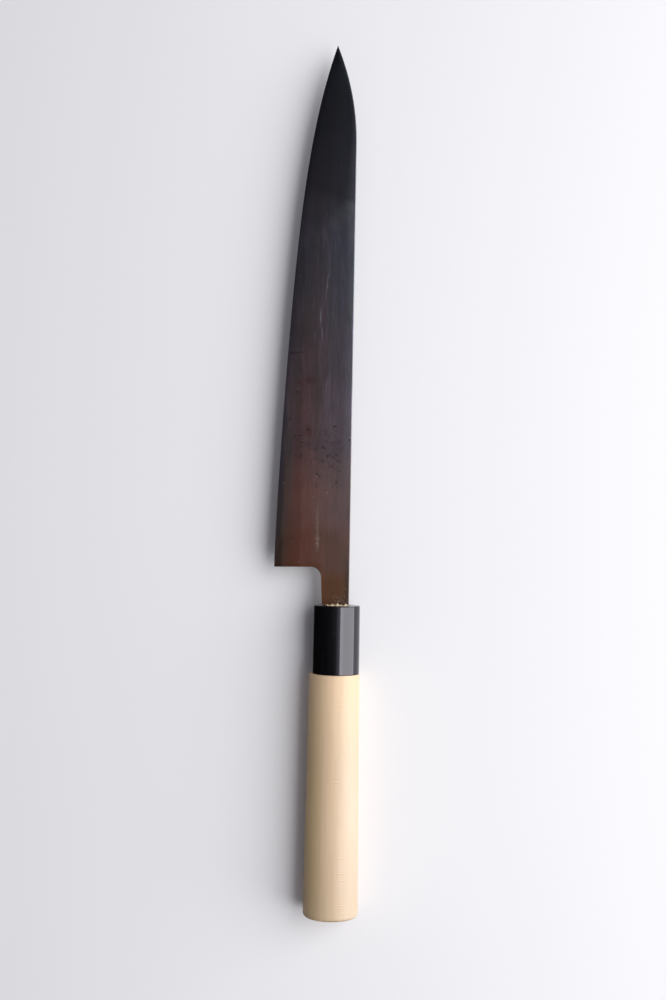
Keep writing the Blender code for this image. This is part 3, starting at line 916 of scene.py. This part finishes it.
def pale_floor(look):
    """A matt floor that keeps shadows near the knife, and far away is as pale as its surroundings."""
    finish, desk, sockets = new_finish("pale_floor", Roughness=0.9, Specular_IOR_Level=0.0)
    place = desk.place()
    grain = desk.effect(soft_patches, Place=place, Scale=6, Low=0.3, High=0.7)
    pale = desk.mix(desk.times(grain, 0.03), look.floor_colour, (0.70, 0.70, 0.72))
    desk.feed(sockets["Base Color"], pale)

    distance = desk.vector_length(desk.vector("MULTIPLY", place, (1.0, 1.0, 0.0)))
    far = desk.spread(distance, 0.45, 1.60)
    rays = desk.add("ShaderNodeLightPath").outputs
    seen = desk.math("MAXIMUM", rays["Is Camera Ray"], rays["Is Glossy Ray"])
    seen = desk.math("MAXIMUM", seen, rays["Is Transmission Ray"])
    glow = desk.add("ShaderNodeEmission", {"Color": look.far_colour, "Strength": 1.0}).outputs[0]
    nodes = finish.node_tree.nodes
    near = nodes["Principled BSDF"].outputs[0]
    mixed = desk.add("ShaderNodeMixShader", {0: desk.times(far, seen), 1: near, 2: glow})
    desk.feed(nodes["Material Output"].inputs["Surface"], mixed.outputs[0])
    return finish


def surroundings(look):
    """Dim overhead and to the left, soft at both ends, and pale round the horizon."""
    world = bpy.data.worlds.new("surroundings")
    world.use_nodes = True
    world.node_tree.nodes.clear()
    desk = Desk(world.node_tree)
    right, ahead, up = desk.axes(desk.add("ShaderNodeTexCoord").outputs["Generated"])
    spill = desk.times(desk.spread(right, -0.12, 0.24), desk.spread(up, 0.80, 0.95))
    sky = desk.mix(spill, look.sky_colour, look.spill_colour)
    ends = desk.spread(desk.math("ABSOLUTE", ahead), 0.30, 0.95)
    sky = desk.mix(ends, sky, look.ends_colour)
    rays = desk.add("ShaderNodeLightPath").outputs
    mirrored = desk.math("MAXIMUM", rays["Is Glossy Ray"], rays["Is Transmission Ray"])
    horizon = desk.times(desk.fade(up, 0.03, 0.20), mirrored)
    pale = desk.math("MAXIMUM", horizon, rays["Is Camera Ray"])
    shade = desk.mix(pale, sky, look.far_colour)
    glow = desk.add("ShaderNodeBackground", {"Color": shade, "Strength": 1.0}).outputs[0]
    desk.add("ShaderNodeOutputWorld", {"Surface": glow})
    return world


# Pieces


class KNIFE_OT_add_stage(bpy.types.Operator):
    """Adds the pale floor, the soft lamp, the surroundings and the camera over the knife"""

    bl_idname = "knife.add_stage"
    bl_label = "Stage"

    def execute(self, context):
        look = context.scene.knife.stage
        context.scene.view_settings.view_transform = "Standard"
        context.scene.world = surroundings(look)

        only(None)
        bpy.ops.mesh.primitive_plane_add(size=look.floor_size, location=(0, 0, 0))
        floor = new_piece("floor")
        floor.data.materials.append(pale_floor(look))

        slope = LAMP_FOOT - LAMP_TOP
        bpy.ops.object.light_add(type="AREA", location=(LAMP_TOP + LAMP_FOOT) / 2)
        lamp = context.object
        lamp.name = lamp.data.name = "soft_lamp"
        lamp.rotation_euler = (0, math.atan2(-slope.z, slope.x), 0)
        lamp.data.shape = "RECTANGLE"
        lamp.data.size = slope.length
        lamp.data.size_y = LAMP_LENGTH
        lamp.data.energy = look.lamp_power
        lamp.visible_camera = False

        # The dark card is seen only in reflections: it paints a dark reflection on the ferrule's left half
        # and casts no shadow.
        bpy.ops.mesh.primitive_plane_add(
            size=1, rotation=(0, math.pi / 2, 0), scale=(CARD_HEIGHT, CARD_LENGTH, 1),
            location=(HANDLE_LOW.x - CARD_GAP, (HANDLE_LOW.y + MOUTH_Y) / 2, CARD_HEIGHT / 2),
        )
        card = new_piece("dark_card")
        card.data.materials.append(new_finish("dark_card", Base_Color=(0, 0, 0, 1), Roughness=1.0)[0])
        card.visible_camera = card.visible_diffuse = card.visible_shadow = False

        bpy.ops.object.camera_add(location=CAMERA_PLACE, rotation=(0, 0, CAMERA_TURN))
        camera = context.object
        camera.name = camera.data.name = "camera"
        camera.data.lens = look.lens
        camera.data.sensor_width = SENSOR_WIDTH
        camera.data.clip_start = NEAREST_SEEN
        context.scene.camera = camera
        return {"FINISHED"}


def pit_cutter(blade):
    """One object that holds a flattened lump for each pit, half sunk in the steel."""
    draw = random.Random(11)
    pits = []
    for number, (x, y, size) in enumerate(PITS):
        hit, point, _, _ = blade.ray_cast(Vector((x / 1000, y / 1000, 1)), Vector((0, 0, -1)))
        if not hit:
            raise RuntimeError(f"pit {number} doesn't lie on the blade")
        pits.append(add_lump(
            f"pit_{number}", size / 2000, point, size / 8000, number, subdivisions=2,
            rotation=(0, 0, draw.uniform(-0.6, 0.6)),
            scale=(draw.uniform(1.0, 1.7), draw.uniform(0.55, 0.9), 0.26),
        ))
    join(pits[-1], pits)
    return pits[-1]


class KNIFE_OT_add_blade(bpy.types.Operator):
    """Adds the forged blade with its neck and tang"""

    bl_idname = "knife.add_blade"
    bl_label = "Blade"

    def execute(self, context):
        look = context.scene.knife.blade
        blade = bpy.data.objects.new("forged_blade", frame["nodes"]["blade"].data.copy())
        context.scene.collection.objects.link(blade)
        edit(blade, "SELECT")
        bpy.ops.mesh.remove_doubles(threshold=MERGE_DISTANCE)
        bpy.ops.mesh.customdata_custom_splitnormals_clear()

        def sharp_at_neck(edge):
            """Whether it is a sharp edge of the neck, the heel or the choil, but not the cutting edge."""
            return (
                all(MOUTH_Y + 0.0004 < vert.co.y < HEEL_Y + 0.0005 for vert in edge.verts)
                and all(abs(vert.co.z - AXIS.z) > 0.0004 for vert in edge.verts)
                and edge.calc_face_angle(0.0) > math.radians(50)
            )

        pick(blade, "EDGE", sharp_at_neck)
        bpy.ops.mesh.bevel(offset=look.eased_edge, segments=2, affect="EDGES")
        done(blade, STEEL_CREASE)
        install(blade, "blade", patinated_steel(look))

        cutter = pit_cutter(blade)
        cutter.data.materials.append(pit_rust(look))
        cut_away(blade, cutter, material_mode="TRANSFER", use_self=True)
        drop_loose_bits(blade, lambda vert: at(vert.co.y, TIP_Y))
        done(blade, STEEL_CREASE)
        return {"FINISHED"}


class KNIFE_OT_add_ferrule(bpy.types.Operator):
    """Adds the glossy oval ferrule, a ring with a bore for the tenon"""

    bl_idname = "knife.add_ferrule"
    bl_label = "Ferrule"

    def execute(self, context):
        look = context.scene.knife.ferrule
        rear_width = FERRULE_HIGH.x - FERRULE_LOW.x
        rear_y = SHOULDER_Y + HAIRLINE_GAP
        ferrule = add_round("horn_ferrule", rear_width / 2, MOUTH_Y, rear_y, look.steps)
        edit(ferrule)
        pick(ferrule, "FACE", lambda face: lies_across(face, MOUTH_Y))
        taper = look.front_width / rear_width
        resize(taper, taper)
        pick(ferrule, "FACE", lambda face: len(face.verts) > 4)
        bpy.ops.mesh.inset(thickness=(rear_width - look.bore_width) / 2)
        bpy.ops.mesh.bridge_edge_loops()

        def outside(vert):
            """Whether the corner is on the outside, not in the bore."""
            return from_axis(vert.co) > rear_width * 0.45

        round_rims(ferrule, ((MOUTH_Y, look.front_round, 6), (rear_y, look.rear_round, 3)), outside)
        pick(ferrule, "EDGE", lambda edge: runs_along(edge, 0.02) and outside(edge.verts[0]))
        bpy.ops.mesh.subdivide(number_cuts=FERRULE_CUTS)
        make_oval(ferrule)
        install(ferrule, "ferrule", polished_horn(look))
        return {"FINISHED"}


class KNIFE_OT_add_handle(bpy.types.Operator):
    """Adds the wooden grip, with the tenon inside the ferrule and the slot for the tang"""

    bl_idname = "knife.add_handle"
    bl_label = "Handle"

    def execute(self, context):
        look = context.scene.knife.handle
        centre = (HANDLE_LOW + HANDLE_HIGH) / 2
        butt_width = HANDLE_HIGH.x - HANDLE_LOW.x
        tenon_width = context.scene.knife.ferrule.bore_width - 2 * SEAT_GAP
        grip = add_round(
            "magnolia_handle", butt_width / 2, SHOULDER_Y, HANDLE_LOW.y, look.steps, across=centre.x
        )

        def front(face):
            """Whether it is the whole face at the shoulder, not one of the round's strips."""
            return lies_across(face, SHOULDER_Y) and len(face.verts) > 4

        edit(grip)
        pick(grip, "FACE", front)
        taper = look.shoulder_width / butt_width
        resize(taper, taper, centre)
        round_rims(grip, ((HANDLE_LOW.y, look.butt_round, 8), (SHOULDER_Y, look.shoulder_round, 3)))
        pick(grip, "EDGE", lambda edge: runs_along(edge, 0.05))
        bpy.ops.mesh.subdivide(number_cuts=GRIP_CUTS)

        pick(grip, "FACE", front)
        bpy.ops.mesh.inset(thickness=look.shoulder_width / 2 - look.shoulder_round - tenon_width / 2)
        bpy.ops.transform.translate(value=(AXIS.x - centre.x, 0, 0))
        bpy.ops.mesh.extrude_region_move(
            TRANSFORM_OT_translate={"value": (0, HANDLE_HIGH.y - SHOULDER_Y, 0)}
        )
        make_oval(grip)

        slot = add_block(
            "tang_slot", (SLOT_MOUTH_Y + SLOT_END_Y) / 2,
            (SLOT_MOUTH_WIDTH, SLOT_MOUTH_Y - SLOT_END_Y, SLOT_MOUTH_THICKNESS),
        )
        edit(slot)
        pick(slot, "FACE", lambda face: lies_across(face, SLOT_END_Y))
        resize(SLOT_END_WIDTH / SLOT_MOUTH_WIDTH, SLOT_END_THICKNESS / SLOT_MOUTH_THICKNESS)
        cut_away(grip, slot)
        done(grip)
        install(grip, "handle_body", bare_magnolia(look))
        return {"FINISHED"}


def crumb_places(look, radius):
    """Draws each crumb's size and its place: across, in front of the ferrule's mouth, and above.
    The first ones lie all over the mouth, and the others are heaped against the neck."""
    draw = random.Random(7)
    places = []
    for _ in range(look.crumbs):
        turn, reach = draw.uniform(0, 2 * math.pi), math.sqrt(draw.uniform(0.05, 0.86))
        size = look.crumb_size * draw.uniform(0.25, 1.0) / 2
        across, above = radius * reach * math.cos(turn), radius * reach * math.sin(turn)
        places.append((size, across, draw.uniform(-0.6, 0.3) * size, above))
    for peak, height in FILLER_HEAPS:
        for number in range(look.heap):
            size = look.crumb_size * draw.uniform(0.4, 0.9) / 2
            rise = 0.4 + 0.6 * (number + 1) / look.heap
            across = peak / 1000 - AXIS.x + draw.uniform(-0.0018, 0.0018) * (1.1 - rise)
            highest = math.sqrt(max(0.0, 1 - (across / radius) ** 2)) * radius * 0.9
            proud = rise * height / 1000 - size
            places.append((size, across, proud, min(highest, 0.0022 + draw.uniform(0, 0.0018))))
    return places


class KNIFE_OT_add_filler(bpy.types.Operator):
    """Adds the crumbly filler that closes the ferrule's mouth round the neck"""

    bl_idname = "knife.add_filler"
    bl_label = "Filler"

    def execute(self, context):
        look = context.scene.knife.filler
        radius = context.scene.knife.ferrule.bore_width / 2 - SEAT_GAP
        front_y = MOUTH_Y - 0.0001
        filler = add_round("mouth_filler", radius, front_y, FILLER_LOW.y, FILLER_STEPS)
        crumbs = [
            add_lump(
                f"crumb_{number}", size, (AXIS.x + across, MOUTH_Y + proud, AXIS.z + above),
                size * 0.35, number,
            )
            for number, (size, across, proud, above) in enumerate(crumb_places(look, radius))
        ]
        join(filler, crumbs)
        edit(filler, "SELECT")
        resize(z=OVAL_RATIO)
        apply_modifier(filler, "REMESH", mode="VOXEL", voxel_size=CRUMB_VOXEL)
        neck_thickness = BLADE_HIGH.z - BLADE_LOW.z
        cut_away(filler, add_block("neck_channel", MOUTH_Y, (0.03, 0.02, neck_thickness)))
        apply_modifier(filler, "REMESH", mode="VOXEL", voxel_size=CRUMB_VOXEL)
        drop_loose_bits(filler, lambda vert: vert.co.y < FILLER_LOW.y + 0.0002)
        done(filler, FILLER_CREASE)
        install(filler, "tang_packing", glue_and_wood_dust(look))
        return {"FINISHED"}


class KNIFE_PT_pieces(bpy.types.Panel):
    """Lists the pieces of the knife and their settings"""

    bl_label = "Knife"
    bl_space_type = "VIEW_3D"
    bl_region_type = "UI"
    bl_category = "Knife"

    def draw(self, context):
        for operator in STEPS:
            box = self.layout.box()
            box.operator(operator.bl_idname)
            settings = getattr(context.scene.knife, operator.bl_idname.removeprefix("knife.add_"))
            for name in settings.__annotations__:
                box.prop(settings, name)


STEPS = (
    KNIFE_OT_add_stage, KNIFE_OT_add_blade, KNIFE_OT_add_ferrule, KNIFE_OT_add_handle, KNIFE_OT_add_filler,
)
CLASSES = (
    BladeSettings, FerruleSettings, HandleSettings, FillerSettings, StageSettings, KnifeSettings,
    *STEPS, KNIFE_PT_pieces,
)


def register():
    for cls in CLASSES:
        bpy.utils.register_class(cls)
    bpy.types.Scene.knife = PointerProperty(type=KnifeSettings)


def unregister():
    del bpy.types.Scene.knife
    for cls in reversed(CLASSES):
        bpy.utils.unregister_class(cls)


def main():
    register()
    bpy.ops.knife.add_stage()
    bpy.ops.knife.add_blade()
    bpy.ops.knife.add_ferrule()
    bpy.ops.knife.add_handle()
    bpy.ops.knife.add_filler()
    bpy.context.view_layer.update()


if __name__ == "__main__":
    main()
